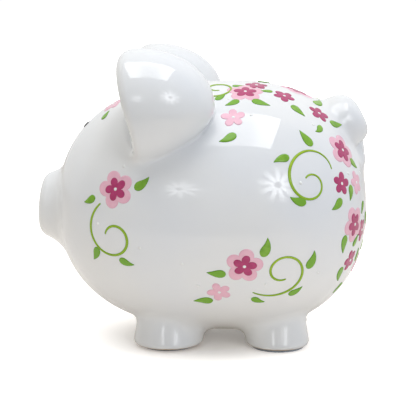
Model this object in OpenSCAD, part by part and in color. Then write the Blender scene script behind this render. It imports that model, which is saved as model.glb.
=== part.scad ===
// Slip-cast ceramic piggy bank with a rubber stopper in the belly.
// The snout points along -X, the tail along +X, and the pig's left side is -Y.
// The origin is on the table, under the middle of the bank's bounding box.

/* [Body] */
// Widest diameter of the egg-shaped body
body_d = 162; // [158:1:166]
// Height of the body's long axis above the table
axis_h = 88; // [87:1:91]
// How far behind the middle of the bank the widest section lies
widest_x = 20.5; // [19:0.5:22]
// Length of the egg in front of its widest section
front_len = 116; // [114:1:118]
// Length of the egg behind its widest section
rear_len = 85; // [84:1:86]
// Thickness of the fired clay wall
wall = 5; // [4:0.5:6]

/* [Snout] */
// Diameter of the snout just behind its rounded rim
snout_d = 40; // [38:1:42]
// How far the middle of the snout's face stands in front of the egg's tip
snout_out = 12; // [11:1:13]
// Radius of the rounded rim of the snout
snout_rim_r = 4; // [3:0.5:5]
// Diameter of a nostril dimple
nostril_d = 7; // [5:0.5:8]

/* [Legs] */
// Sideways distance from the middle plane to the centre of a leg
leg_y = 27; // [26:1:28]
// Position along the body of the front legs
front_leg_x = -22; // [-23:1:-21]
// Position along the body of the rear legs
rear_leg_x = 49; // [48:1:50]
// Diameter of a front foot
front_foot_d = 45; // [44:1:46]
// Diameter of a rear foot
rear_foot_d = 41; // [40:1:42]
// Thickness of the felt pad under each foot
pad_t = 1.5; // [1:0.5:2]

/* [Ears] */
// Sideways distance from the middle plane to the centre of an ear
ear_y = 54; // [52:1:56]
// Radius of the ear cup at its mouth
ear_r = 37; // [35:1:38]
// Depth of the ear cup, from its mouth back
ear_depth = 56; // [52:1:58]
// Thickness of the ear's clay
ear_wall = 7; // [6:0.5:8]

/* [Coin slot] */
// Length of the coin slot
slot_len = 40; // [36:1:44]
// Width of the coin slot
slot_w = 5; // [4.5:0.5:6]
// Position along the body of the middle of the slot
slot_x = 22; // [18:1:26]

/* [Stopper] */
// Diameter of the round hole in the belly
bore_d = 30; // [28:1:31]
// Radial play between the stopper and its hole
play = 0.08; // [0.05:0.01:0.1]
// Diameter of the stopper's flange
flange_d = 37; // [36:0.5:38]
// Height of the stopper's hollow neck above the flange
neck_h = 11; // [9:1:12]

/* [Hidden] */

// Colours
glaze = [0.95, 0.95, 0.94];
rubber = [0.88, 0.87, 0.84];
felt = [0.42, 0.46, 0.52];

// Which side of the pig: its left is -Y
LEFT = -1;
RIGHT = 1;

// The egg's half outline is a superellipse, blunter towards the snout
front_bow = 2.8;
front_round = 2.2;
rear_bow = 2.3;
rear_round = 2.3;
egg_steps = 22;

// Snout
snout_base_flare = 4;
snout_face_dome = 0.8;
nostril_y = 7.5;
nostril_depth = 2;

// Belly well: a flat seat round the hole, recessed so that the stopper clears the table
well_x = 14;
well_d = 40;
seat_z = 11;
boss_d = 48;
boss_top = 17;

// Legs
leg_taper = 1.5;
leg_top = 46;
foot_edge_r = 3;
pad_d = 34;
vent_d = 10;
sole_t = 6;

// Ears: the mouth leans forward, so its plane faces a little down
ear_x = -45.5;
ear_z = 154.5;
ear_tilt = 4;
mouth_x = -42;
mouth_lean = 16.5;
ear_start = -28;
ear_steps = 20;

// Tail: one fat curl that lies on the rump, with its root below it
tail_x = 93;
tail_z = 141;
tail_axis = 38;
tail_loop_r = 10;
tail_rope_r = 8.5;
tail_root_x = 99;
tail_root_z = 121.5;

// Stopper
seat_gap = 0.15;
flange_t = 2.6;
neck_wall = 3;
grip_w = 4;
grip_len = 17;
grip_well_d = 23;
grip_depth = 1.6;
rib_r = 0.6;

// Radius of the egg, made bigger all round by grow, at s from its widest section
function egg_front_r(s, grow) =
  (body_d / 2 + grow) * pow(1 - pow(-s / (front_len + grow), front_bow), 1 / front_round);
function egg_rear_r(s, grow) =
  (body_d / 2 + grow) * pow(1 - pow(s / (rear_len + grow), rear_bow), 1 / rear_round);
function egg_r(s, grow) = s < 0 ? egg_front_r(s, grow) : egg_rear_r(s, grow);

// The egg's half outline as [radius, position], from start back to the rump's tip
function egg_outline(start, grow) = concat(
  [for (i = [0 : egg_steps]) let (s = start * cos(90 * i / egg_steps)) [egg_r(s, grow), s]],
  [for (i = [1 : egg_steps - 1])
    let (s = (rear_len + grow) * sin(90 * i / egg_steps)) [egg_r(s, grow), s]],
  [[0, rear_len + grow]]
);

// The snout's half outline: domed face, rounded rim, then a flare back to the egg
snout_face = -front_len - snout_out;
rim_s = snout_face + snout_face_dome + snout_rim_r;
rim_r = snout_d / 2 - snout_rim_r;
snout_outline = concat(
  [[0, snout_face]],
  [for (a = [0 : 15 : 90]) [rim_r + snout_rim_r * sin(a), rim_s - snout_rim_r * cos(a)]]
);
snout_base = -front_len + 3;

// The inside follows the outside, and reaches into the snout
cavity_snout_r = snout_d / 2 - wall - 2;
cavity_start = -front_len + wall + 2;

module along_body() {
  translate([widest_x, 0, axis_h]) rotate([0, 90, 0]) children();
}

module body_outside() {
  along_body()
    rotate_extrude($fn = 120)
      polygon(concat(
        snout_outline,
        [[snout_d / 2 + snout_base_flare, snout_base - 0.5]],
        egg_outline(snout_base, 0)
      ));
}

module body_inside() {
  along_body()
    rotate_extrude($fn = 120)
      polygon(concat(
        [[0, snout_face + wall + 1], [cavity_snout_r, snout_face + wall + 1]],
        [[cavity_snout_r, cavity_start - 0.5]],
        egg_outline(cavity_start, -wall)
      ));
}

// A boss inside the belly carries the stopper's bore and seat
module belly_boss() {
  intersection() {
    translate([well_x, 0, 0]) cylinder(h = boss_top, d = boss_d, $fn = 96);
    body_outside();
  }
}

module belly_hole() {
  translate([well_x, 0, -1]) {
    cylinder(h = seat_z + 1, d = well_d, $fn = 96);
    cylinder(h = boss_top + 10, d = bore_d, $fn = 96);
  }
}

module coin_slot() {
  straight = slot_len - slot_w;
  translate([slot_x, 0, axis_h + body_d / 2 - 3 * wall]) {
    translate([-straight / 2, -slot_w / 2, 0]) cube([straight, slot_w, 6 * wall]);
    for (end = [-1, 1])
      translate([end * straight / 2, 0, 0]) cylinder(h = 6 * wall, d = slot_w, $fn = 32);
  }
}

module nostrils() {
  ball_r = (pow(nostril_d / 2, 2) + pow(nostril_depth, 2)) / (2 * nostril_depth);
  for (side = [LEFT, RIGHT])
    translate([
      widest_x + snout_face + snout_face_dome / 2 - ball_r + nostril_depth,
      side * nostril_y,
      axis_h
    ]) sphere(r = ball_r, $fn = 48);
}

// Each hollow leg opens into the body through a vent, so that it doesn't burst in the kiln
module leg_vents() {
  for (x = [front_leg_x, rear_leg_x], side = [LEFT, RIGHT])
    translate([x, side * leg_y, pad_t + sole_t]) cylinder(h = 30, d = vent_d, $fn = 48);
}

module body() {
  color(glaze)
    difference() {
      union() {
        difference() {
          body_outside();
          body_inside();
        }
        belly_boss();
      }
      belly_hole();
      coin_slot();
      nostrils();
      leg_vents();
    }
}

// A short flared stub with a rounded foot, cut to sit on the body's skin
module leg(x, side, foot_d) {
  foot_r = foot_d / 2;
  edge_r = foot_r - foot_edge_r;
  color(glaze)
    difference() {
      translate([x, side * leg_y, pad_t])
        rotate_extrude($fn = 96)
          polygon(concat(
            [[0, 0]],
            [for (a = [0 : 15 : 90])
              [edge_r + foot_edge_r * sin(a), foot_edge_r * (1 - cos(a))]],
            [[foot_r - leg_taper, leg_top], [foot_r - leg_taper - wall, leg_top]],
            [[foot_r - leg_taper - wall, sole_t], [0, sole_t]]
          ));
      body_outside();
    }
}

module pad(x, side) {
  color(felt) translate([x, side * leg_y, 0]) cylinder(h = pad_t, d = pad_d, $fn = 96);
}

// Half outline of the ear cup: outside from the mouth to the back, then the inside
function ear_arc(thin) = [
  for (i = [0 : ear_steps])
    let (a = ear_start + (90 - ear_start) * i / ear_steps)
      [(ear_r - thin) * cos(a), (ear_depth - thin) * sin(a)]
];
function backwards(points) = [for (i = [len(points) - 1 : -1 : 0]) points[i]];

module ear_cup() {
  rotate([0, 90 - ear_tilt, 0])
    rotate_extrude($fn = 96)
      polygon(concat(ear_arc(0), backwards(ear_arc(ear_wall))));
}

module ear(side) {
  color(glaze)
    difference() {
      translate([ear_x, side * ear_y, ear_z]) ear_cup();
      translate([mouth_x, side * ear_y, ear_z])
        rotate([0, -mouth_lean, 0])
          translate([-ear_depth, -ear_depth, -ear_depth])
            cube([ear_depth, 2 * ear_depth, 2 * ear_depth]);
      body_outside();
    }
}

module tail() {
  color(glaze)
    difference() {
      union() {
        translate([tail_x, 0, tail_z])
          rotate([0, 90 - tail_axis, 0])
            rotate_extrude($fn = 72)
              translate([tail_loop_r, 0]) circle(r = tail_rope_r, $fn = 48);
        translate([tail_root_x, 0, tail_root_z]) sphere(r = tail_rope_r, $fn = 72);
      }
      body_outside();
    }
}

// Flange, hollow neck with two soft ribs, and a bar across a finger well to pull it by
module belly_stopper() {
  neck_r = bore_d / 2 - play;
  flange_top = seat_z - seat_gap;
  color(rubber)
    translate([well_x, 0, flange_top - flange_t])
      union() {
        difference() {
          rotate_extrude($fn = 96)
            polygon([
              [0, 0], [flange_d / 2 - 0.8, 0], [flange_d / 2, 0.8], [flange_d / 2, flange_t],
              [neck_r, flange_t], [neck_r, flange_t + neck_h - 1.5],
              [neck_r - 1.5, flange_t + neck_h], [neck_r - neck_wall, flange_t + neck_h],
              [neck_r - neck_wall, flange_t + 1.5], [0, flange_t + 1.5]
            ]);
          translate([0, 0, -1]) cylinder(h = grip_depth + 1, d = grip_well_d, $fn = 72);
          for (z = [4, 7])
            translate([0, 0, flange_t + z])
              rotate_extrude($fn = 96)
                translate([neck_r, 0]) circle(r = rib_r, $fn = 24);
        }
        translate([-grip_len / 2, -grip_w / 2, 0])
          cube([grip_len, grip_w, grip_depth + 0.5]);
      }
}

body();
ear(LEFT);  // left_ear
ear(RIGHT);  // right_ear
tail();
leg(front_leg_x, LEFT, front_foot_d);  // front_left_leg
leg(front_leg_x, RIGHT, front_foot_d);  // front_right_leg
leg(rear_leg_x, LEFT, rear_foot_d);  // rear_left_leg
leg(rear_leg_x, RIGHT, rear_foot_d);  // rear_right_leg
pad(front_leg_x, LEFT);  // front_left_pad
pad(front_leg_x, RIGHT);  // front_right_pad
pad(rear_leg_x, LEFT);  // rear_left_pad
pad(rear_leg_x, RIGHT);  // rear_right_pad
belly_stopper();
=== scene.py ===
"""Looks of the piggy bank: a soft glazed skin, raised painted enamel, a rubber stopper and felt pads.

Shapes are worked out in millimetres in the CAD's own axes: the snout points along -X, the tail along +X,
and the pig's left side is -Y. Meshes are made in metres.
"""
import math

import bmesh
import bpy
import numpy as np
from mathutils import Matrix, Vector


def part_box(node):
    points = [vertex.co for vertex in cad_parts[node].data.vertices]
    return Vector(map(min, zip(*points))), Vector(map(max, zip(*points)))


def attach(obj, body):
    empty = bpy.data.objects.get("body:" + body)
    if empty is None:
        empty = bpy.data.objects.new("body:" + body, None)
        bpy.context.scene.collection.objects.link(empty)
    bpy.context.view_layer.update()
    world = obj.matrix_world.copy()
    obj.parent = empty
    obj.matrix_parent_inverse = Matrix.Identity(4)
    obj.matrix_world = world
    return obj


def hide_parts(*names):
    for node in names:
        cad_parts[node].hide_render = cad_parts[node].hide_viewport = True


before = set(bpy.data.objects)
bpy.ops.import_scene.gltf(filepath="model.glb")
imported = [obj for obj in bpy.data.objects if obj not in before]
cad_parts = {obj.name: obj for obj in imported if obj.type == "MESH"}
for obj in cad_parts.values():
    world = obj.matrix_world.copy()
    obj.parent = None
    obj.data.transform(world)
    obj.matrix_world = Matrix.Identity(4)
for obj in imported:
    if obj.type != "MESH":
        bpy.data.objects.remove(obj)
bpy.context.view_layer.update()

import openvdb
from mathutils import Vector
from mathutils.geometry import tessellate_polygon

MM = 0.001
LEFT = -1
RIGHT = 1


# ---------------------------------------------------------------- sizes from the frame

BOXES = {}


def box_mm(node):
    """Lowest and highest corner of a CAD node, in mm."""
    if node not in BOXES:
        low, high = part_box(node)
        BOXES[node] = (np.array(low) / MM, np.array(high) / MM)
    return BOXES[node]


BODY_LO, BODY_HI = box_mm("body")
EGG_R = (BODY_HI[1] - BODY_LO[1]) / 2
AXIS_Z = BODY_HI[2] - EGG_R
REAR_LEN = 85.0
FRONT_LEN = 116.0
WIDEST_X = BODY_HI[0] - REAR_LEN
WALL = 5.0

# The egg's half outline is a superellipse, blunter towards the snout
FRONT_BOW, FRONT_ROUND = 2.8, 2.2
REAR_BOW, REAR_ROUND = 2.3, 2.3

# Snout: a short flared stub whose face looks a little up
SNOUT_TIP_X = BODY_LO[0]
SNOUT_R = 20.0
SNOUT_RIM_R = 4.2
SNOUT_FLARE = 4.5
SNOUT_REACH = 12.0
SNOUT_TILT = math.radians(4)
SNOUT_DOME = 1.2
SNOUT_LONG = 40.0
SNOUT_BLEND = 6.0
NOSTRIL_R = np.array([3.6, 2.9, 4.4])
NOSTRIL_AT = np.array([SNOUT_TIP_X - 1.2, 7.5, AXIS_Z + 1])
NOSTRIL_SOFT = 1.6

# Legs
PAD_T = box_mm("front_left_pad")[1][2]
LEG_BLEND_OUT = 8.0
LEG_BLEND_IN = 18.0
LEG_BLEND_REACH = 22.0
LEG_TALL = 50.0
FOOT_EDGE_R = 3.4
LEG_FLARE = 0.17
LEG_FLARE_SIDE = 0.17
LEG_FLARE_TALL = 26.0

# Stopper and its well in the belly
STOPPER_LO, STOPPER_HI = box_mm("belly_stopper")
WELL_X = (STOPPER_LO[0] + STOPPER_HI[0]) / 2

# Ears
EAR_LO, EAR_HI = box_mm("right_ear")
EAR_X = -36.5
EAR_Y = (EAR_LO[1] + EAR_HI[1]) / 2
EAR_OUT = 35.0
EAR_UP = 36.0
EAR_DOWN = 34.5
EAR_DEPTH = EAR_HI[0] - EAR_X
EAR_Z = EAR_HI[2] - EAR_UP
EAR_WALL = 7.0
EAR_FRONT_DEPTH = 23.0
EAR_TRIM = 0.12
EAR_TILT = math.radians(1.5)
EAR_TURN = math.radians(13)
MOUTH_X = -43.2
MOUTH_LEAN = math.radians(16.5)
MOUTH_DROP = 15.0
MOUTH_SOFT = 12.0
EAR_LIP_R = 5.0
EAR_CORNER_R = 8.0
EAR_INSIDE_SOFT = 6.5
EAR_BLEND_BACK = 4.0
EAR_BLEND_FRONT = 16.0
EAR_BLEND_X = (-46.0, -24.0)

# Tail curl: its axis looks out and up from the rump
TAIL_AXIS = math.radians(31)
TAIL_MIDDLE = np.array([94.8, 0, 141.8])
TAIL_START = math.radians(-96)
TAIL_SWEEP = math.radians(396)
TAIL_LOOP_FIRST, TAIL_LOOP_LAST = 20.0, 5.0
TAIL_R, TAIL_SWELL = 7.0, 3.0
TAIL_RISE = 1.0
TAIL_ROOT_DEEP = 8.5
TAIL_BLEND_LOW = 11.0
TAIL_BLEND_HIGH = 21.0
TAIL_BLEND_Z = (128.0, 152.0)


# ---------------------------------------------------------------- distance fields
# Each takes an array of points, one a row, and gives their distance from the surface in mm,
# negative inside. They are nearly exact close to the surface, which is where they are used.

def egg_shape(x):
    """The egg's half length there, and the two powers of its outline."""
    front = x < WIDEST_X
    length = np.where(front, FRONT_LEN, REAR_LEN)
    bow = np.where(front, FRONT_BOW, REAR_BOW)
    roundness = np.where(front, FRONT_ROUND, REAR_ROUND)
    return length, bow, roundness


def egg(p, grow=0.0):
    length, bow, roundness = egg_shape(p[:, 0])
    length = length + grow
    r = np.hypot(p[:, 1], p[:, 2] - AXIS_Z)
    u = np.abs(p[:, 0] - WIDEST_X) / length
    v = r / (EGG_R + grow)
    slope = np.hypot(bow * u ** (bow - 1) / length, roundness * v ** (roundness - 1) / (EGG_R + grow))
    return np.maximum((u ** bow + v ** roundness - 1) / np.maximum(slope, 1e-4), -40.0)


def smooth_min(a, b, k):
    """The union of two shapes with a soft fillet about k wide."""
    h = np.maximum(k - np.abs(a - b), 0) / k
    return np.minimum(a, b) - h ** 3 * k / 6


def smooth_max(a, b, k):
    return -smooth_min(-a, -b, k)


def round_and(a, b, radius):
    """The overlap of two shapes, with a rounded edge of that radius."""
    outside = np.hypot(np.maximum(a + radius, 0), np.maximum(b + radius, 0))
    return np.minimum(np.maximum(a, b), -radius) + outside


def smooth_step(x, low, high):
    t = np.clip((x - low) / (high - low), 0, 1)
    return t * t * (3 - 2 * t)


def snout(p):
    ahead = np.array([-math.cos(SNOUT_TILT), 0, math.sin(SNOUT_TILT)])
    rel = p - np.array([SNOUT_TIP_X, 0, AXIS_Z])
    back = -rel @ ahead
    off = np.linalg.norm(rel + back[:, None] * ahead, axis=1)
    radius = SNOUT_R + SNOUT_FLARE * np.clip(back / SNOUT_REACH, 0, 1.6) ** 1.6
    face = SNOUT_DOME * (off / SNOUT_R) ** 2 - back
    return np.maximum(round_and(off - radius, face, SNOUT_RIM_R), back - SNOUT_LONG)


def nostril(p, side):
    return ellipsoid(p - NOSTRIL_AT * np.array([1, side, 1]), NOSTRIL_R)


def leg(p, node):
    low, high = box_mm(node)
    centre = (low + high) / 2
    foot_r = (high[0] - low[0]) / 2
    off = np.hypot(p[:, 0] - centre[0], p[:, 1] - centre[1])
    up = p[:, 2] - PAD_T
    sideways = ((p[:, 1] - centre[1]) / np.maximum(off, 1)) ** 2
    radius = foot_r - (LEG_FLARE + LEG_FLARE_SIDE * sideways) * np.clip(up, 0, LEG_FLARE_TALL)
    return np.maximum(round_and(off - radius, -up, FOOT_EDGE_R), up - LEG_TALL)


def ellipsoid(rel, radii):
    k0 = np.linalg.norm(rel / radii, axis=1)
    k1 = np.linalg.norm(rel / radii ** 2, axis=1)
    return k0 * (k0 - 1) / np.maximum(k1, 1e-6)


def rotate(p, first, second, angle):
    """Points as seen in axes that are turned by that angle from the first axis to the second."""
    out = p.copy()
    out[:, first] = p[:, first] * math.cos(angle) + p[:, second] * math.sin(angle)
    out[:, second] = p[:, second] * math.cos(angle) - p[:, first] * math.sin(angle)
    return out


def ear(p, side):
    """A hollow cup, cut off by its mouth. The mouth leans forward as it goes down, then drops straight."""
    rel = p - np.array([EAR_X, side * EAR_Y, EAR_Z])
    turned = rotate(rotate(rel, 0, 2, EAR_TILT), 0, 1, side * EAR_TURN)
    u = np.maximum(turned[:, 0], 0) / EAR_DEPTH
    v = np.maximum(-turned[:, 2], 0) / EAR_DOWN
    # The lower back corner is trimmed
    corner = (2 * u * v) ** 2 / np.maximum(u * u + v * v, 1e-6)
    turned = turned * (1 + EAR_TRIM * np.minimum(corner, 1))[:, None]
    radii = np.empty_like(turned)
    radii[:, 0] = np.where(turned[:, 0] < 0, EAR_FRONT_DEPTH, EAR_DEPTH)
    radii[:, 1] = EAR_OUT
    radii[:, 2] = np.where(turned[:, 2] < 0, EAR_DOWN, EAR_UP)
    thin = np.where(turned[:, :1] < 0, [[0.0, EAR_WALL, EAR_WALL]], EAR_WALL)
    outer = ellipsoid(turned, radii)
    inner = ellipsoid(turned, radii - thin)
    drop = smooth_min(EAR_Z - p[:, 2], np.full(len(p), MOUTH_DROP), MOUTH_SOFT)
    mouth = (MOUTH_X + math.tan(MOUTH_LEAN) * drop - p[:, 0]) * math.cos(MOUTH_LEAN)
    lip = EAR_LIP_R + (EAR_CORNER_R - EAR_LIP_R) * smooth_step(p[:, 2], EAR_Z, EAR_HI[2])
    return smooth_max(round_and(outer, mouth, lip), -inner, EAR_INSIDE_SOFT)


AT_A_TIME = 20000


def tail_path():
    """Centres and radii along the tail: a root low on the rump, then one full curl above it."""
    out = np.array([math.cos(TAIL_AXIS), 0, math.sin(TAIL_AXIS)])
    up = np.array([-math.sin(TAIL_AXIS), 0, math.cos(TAIL_AXIS)])
    across = np.array([0, 1.0, 0])
    t = np.linspace(0, 1, 160)[:, None]
    angle = TAIL_START + t * TAIL_SWEEP
    loop = TAIL_LOOP_FIRST - (TAIL_LOOP_FIRST - TAIL_LOOP_LAST) * np.sqrt(t)
    centre = TAIL_MIDDLE + loop * (np.sin(angle) * up + np.cos(angle) * across)
    centre = centre + (TAIL_RISE * (2 * t - 1) - TAIL_ROOT_DEEP * (1 - t) ** 4) * out
    radius = TAIL_R + TAIL_SWELL * np.sin(np.pi * np.clip(t[:, 0] * 1.1, 0, 1))
    return centre, radius


def tail(p):
    """Worked out for so many points at a time, to save memory."""
    centres, radii = tail_path()
    best = np.empty(len(p))
    for start in range(0, len(p), AT_A_TIME):
        part = p[start:start + AT_A_TIME]
        gap = np.linalg.norm(part[:, None, :] - centres[None], axis=2) - radii
        best[start:start + AT_A_TIME] = gap.min(1)
    return best


LEGS = ("front_left_leg", "front_right_leg", "rear_left_leg", "rear_right_leg")
FEATURES = {}
FEATURES["left_ear"] = lambda p: ear(p, LEFT)
FEATURES["right_ear"] = lambda p: ear(p, RIGHT)
FEATURES["tail"] = tail
for leg_node in LEGS:
    FEATURES[leg_node] = lambda p, name=leg_node: leg(p, name)


def blend_width(name, p):
    """The fillet where a feature joins the body. An ear's is crisp behind and soft in front."""
    if name.endswith("ear"):
        first, last, share = EAR_BLEND_BACK, EAR_BLEND_FRONT, 1 - smooth_step(p[:, 0], *EAR_BLEND_X)
    elif name == "tail":
        first, last, share = TAIL_BLEND_LOW, TAIL_BLEND_HIGH, smooth_step(p[:, 2], *TAIL_BLEND_Z)
    else:
        low, high = box_mm(name)
        leg_x = (low[0] + high[0]) / 2
        inward = (p[:, 0] - leg_x) * math.copysign(1, WELL_X - leg_x)
        first, last, share = LEG_BLEND_OUT, LEG_BLEND_IN, smooth_step(inward, 0, LEG_BLEND_REACH)
    return first + (last - first) * share


def torso(p):
    """The egg with its snout and nostrils."""
    d = smooth_min(egg(p), snout(p), SNOUT_BLEND)
    near = p[:, 0] < SNOUT_TIP_X + 12
    if near.any():
        for side in (LEFT, RIGHT):
            d[near] = smooth_max(d[near], -nostril(p[near], side), NOSTRIL_SOFT)
    return d


NEAR = 18.0


def near_box(p, node):
    low, high = box_mm(node)
    return np.all((p > low - NEAR) & (p < high + NEAR), axis=1)


def skin(p):
    """The whole glazed outside."""
    d = torso(p)
    for name, shape in FEATURES.items():
        near = near_box(p, name)
        if near.any():
            part = p[near]
            d[near] = smooth_min(d[near], shape(part), blend_width(name, part))
    return d


def gradient(field, p, step=0.02):
    out = np.empty_like(p)
    for axis in range(3):
        shift = np.zeros(3)
        shift[axis] = step
        out[:, axis] = (field(p + shift) - field(p - shift)) / (2 * step)
    return out


def onto(field, p, rounds=3):
    """Moves points to the nearest place on the field's surface."""
    for _ in range(rounds):
        g = gradient(field, p)
        p = p - field(p)[:, None] * g / np.maximum((g * g).sum(1), 1e-6)[:, None]
    return p


# ---------------------------------------------------------------- meshes

def add_object(name, data):
    obj = bpy.data.objects.new(name, data)
    bpy.context.scene.collection.objects.link(obj)
    return obj


def soften(piece, sharp):
    """Smooth shading, except over edges that turn by more than that angle."""
    piece.data.shade_smooth()
    piece.data.set_sharp_from_angle(angle=sharp)


COARSE = 6


def surface_of(field, low, high, voxel):
    """Points and quads of the field's surface on a grid of that pitch.

    A coarse grid first finds where the surface can be, so that the fine one is worked out only there.
    """
    cells = np.ceil((np.array(high) - low) / (voxel * COARSE)).astype(int)
    lattice = np.stack(np.meshgrid(*[np.arange(n + 1) for n in cells], indexing="ij"), -1)
    coarse = field((lattice.reshape(-1, 3) * voxel * COARSE + low)).reshape(cells + 1)
    # A little more than a coarse cell's diagonal
    reach = 1.8 * voxel * COARSE
    values = np.repeat(np.repeat(np.repeat(coarse, COARSE, 0), COARSE, 1), COARSE, 2)
    values = np.where(values > 0, reach, -reach).astype(np.float32)
    steps = np.stack(np.meshgrid(*[np.arange(COARSE)] * 3, indexing="ij"), -1).reshape(-1, 3)
    near = np.argwhere(np.abs(coarse) < reach)
    index = (near[:, None, :] * COARSE + steps[None]).reshape(-1, 3)
    values[index[:, 0], index[:, 1], index[:, 2]] = field(index * voxel + low)
    grid = openvdb.FloatGrid(background=float(reach))
    grid.copyFromArray(values)
    points, quads = grid.convertToQuads(isovalue=0.0)
    return points.astype(np.float64) * voxel + low, quads


# ---------------------------------------------------------------- camera

# Where the camera looks, how far off it stands and how much it takes in there, in mm
AIM = np.array([2.5, 0.0, 85.4])
CAMERA_FAR = 830.0
CAMERA_AZIMUTH = math.radians(3.0)
CAMERA_PITCH = math.radians(9.0)
SENSOR = 36.0
FRAME_WIDE = 273.7


def add_camera():
    back = np.array([
        math.sin(CAMERA_AZIMUTH) * math.cos(CAMERA_PITCH),
        -math.cos(CAMERA_AZIMUTH) * math.cos(CAMERA_PITCH),
        math.sin(CAMERA_PITCH),
    ])
    data = bpy.data.cameras.new("camera")
    data.sensor_width = SENSOR
    data.lens = SENSOR * CAMERA_FAR / FRAME_WIDE
    data.clip_start = 0.05
    data.clip_end = 20
    camera = add_object("camera", data)
    camera.location = (AIM + back * CAMERA_FAR) * MM
    camera.rotation_euler = Vector(-back).to_track_quat("-Z", "Y").to_euler()
    bpy.context.scene.camera = camera


add_camera()


# ---------------------------------------------------------------- pieces of the skin

VOXEL = 1.38
SNAP = 0.3
# The grid's box has room around the bank on every side
GRID_LOW = np.array([-112.0, -96.0, -2.0])
GRID_HIGH = np.array([114.0, 96.0, 197.0])


def unit(vectors):
    return vectors / np.maximum(np.linalg.norm(vectors, axis=1), 1e-9)[:, None]


def lead(p):
    """How much nearer the torso each point is than the nearest feature, and which feature that is."""
    best = np.full(len(p), 50.0)
    owner = np.full(len(p), -1)
    for number, (name, shape) in enumerate(FEATURES.items()):
        near = near_box(p, name)
        if near.any():
            gap = shape(p[near]) - torso(p[near])
            closer = gap < best[near]
            index = np.flatnonzero(near)[closer]
            best[index] = gap[closer]
            owner[index] = number
    return best, owner


def onto_seam(p, rounds=5):
    """Moves points to the line on the skin where a feature takes over from the torso."""
    for _ in range(rounds):
        p = onto(skin, p, 1)
        out = unit(gradient(skin, p))
        slope = gradient(lambda q: lead(q)[0], p)
        slope = slope - (slope * out).sum(1)[:, None] * out
        p = p - lead(p)[0][:, None] * slope / np.maximum((slope * slope).sum(1), 1e-3)[:, None]
    return onto(skin, p, 2)


def split_skin(points, quads):
    """Cuts the skin's mesh along the seams. Returns its points and each piece's faces by name."""
    value, owner = lead(points)
    close = np.abs(value) < SNAP
    points[close] = onto_seam(points[close])
    value[close] = 0
    signs = value[quads]
    names = list(FEATURES)
    faces = {name: [] for name in names}

    def feature_of(quad):
        """The feature that the quad's deepest point belongs to."""
        return names[owner[min(quad, key=lambda i: value[i])]]

    faces["body"] = [tuple(q) for q in quads[signs.min(1) >= 0].tolist()]
    for quad in quads[(signs.max(1) <= 0) & (signs.min(1) < 0)].tolist():
        faces[feature_of(quad)].append(tuple(quad))
    made = {}
    extra = []
    for quad in quads[(signs.max(1) > 0) & (signs.min(1) < 0)].tolist():
        below, above = [], []
        for i, j in zip(quad, quad[1:] + quad[:1]):
            if value[i] <= 0:
                below.append(i)
            if value[i] >= 0:
                above.append(i)
            if value[i] * value[j] < 0:
                key = (min(i, j), max(i, j))
                if key not in made:
                    made[key] = len(points) + len(extra)
                    share = value[i] / (value[i] - value[j])
                    extra.append(points[i] + share * (points[j] - points[i]))
                below.append(made[key])
                above.append(made[key])
        faces["body"].append(tuple(above))
        faces[feature_of(quad)].append(tuple(below))
    return np.vstack([points, onto_seam(np.array(extra))]), faces


def open_loops(faces):
    """The loops of edges that only one face uses, each in the direction in which a cap would use them."""
    used = {(a, b) for face in faces for a, b in zip(face, face[1:] + face[:1])}
    follow = {b: a for a, b in used if (b, a) not in used}
    loops = []
    while follow:
        start, here = follow.popitem()
        loop = [start]
        while here != start:
            loop.append(here)
            here = follow.pop(here)
        loops.append(loop)
    return loops


def cap(points, loops):
    """Triangles that close the loops, as seen along the direction in which they are flattest."""
    rim = np.vstack([points[loop] for loop in loops])
    axes = np.linalg.svd(rim - rim.mean(0), full_matrices=False)[2]
    flat = [[Vector((*(axes[:2] @ point), 0)) for point in points[loop]] for loop in loops]
    order = [i for loop in loops for i in loop]
    wanted = {(a, b) for loop in loops for a, b in zip(loop, loop[1:] + loop[:1])}
    corners = [tuple(order[i] for i in corner) for corner in tessellate_polygon(flat)]
    agree = 0
    for face in corners:
        for a, b in zip(face, face[1:] + face[:1]):
            agree += ((a, b) in wanted) - ((b, a) in wanted)
    return corners if agree > 0 else [face[::-1] for face in corners]


def lay_on(name, points, faces):
    """An object of these points and faces, leaving out the points that no face uses."""
    used = sorted({i for face in faces for i in face})
    place = {old: new for new, old in enumerate(used)}
    mesh = bpy.data.meshes.new(name)
    mesh.from_pydata((points[used] * MM).tolist(), [], [[place[i] for i in face] for face in faces])
    mesh.validate()
    return add_object(name, mesh)


def read(items, name, width=1, kind=float):
    """One attribute of all the items, as an array with a row for each."""
    out = np.empty(len(items) * width, kind)
    items.foreach_get(name, out)
    return out.reshape(-1, width) if width > 1 else out


ON_SKIN = 0.03
SHARP = math.radians(38)
SAME_WAY = 0.6


def polish(piece):
    """Smooth shading. Faces of the skin take its exact normals, so that no seam or facet shows."""
    mesh = piece.data
    soften(piece, SHARP)
    points = read(mesh.vertices, "co", 3) / MM
    on_skin = np.abs(skin(points)) < ON_SKIN
    out = np.zeros_like(points)
    out[on_skin] = unit(gradient(skin, points[on_skin]))
    corner_point = read(mesh.loops, "vertex_index", kind=int)
    sizes = read(mesh.polygons, "loop_total", kind=int)
    flat = read(mesh.polygons, "normal", 3)
    face_of = np.repeat(np.arange(len(sizes)), sizes)
    normals = read(mesh.corner_normals, "vector", 3)
    agrees = (out[corner_point] * flat[face_of]).sum(1) > SAME_WAY
    whole = np.ones(len(sizes), bool)
    np.logical_and.at(whole, face_of, agrees)
    exact = whole[face_of]
    normals[exact] = out[corner_point[exact]]
    mesh.normals_split_custom_set(normals.tolist())


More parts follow.
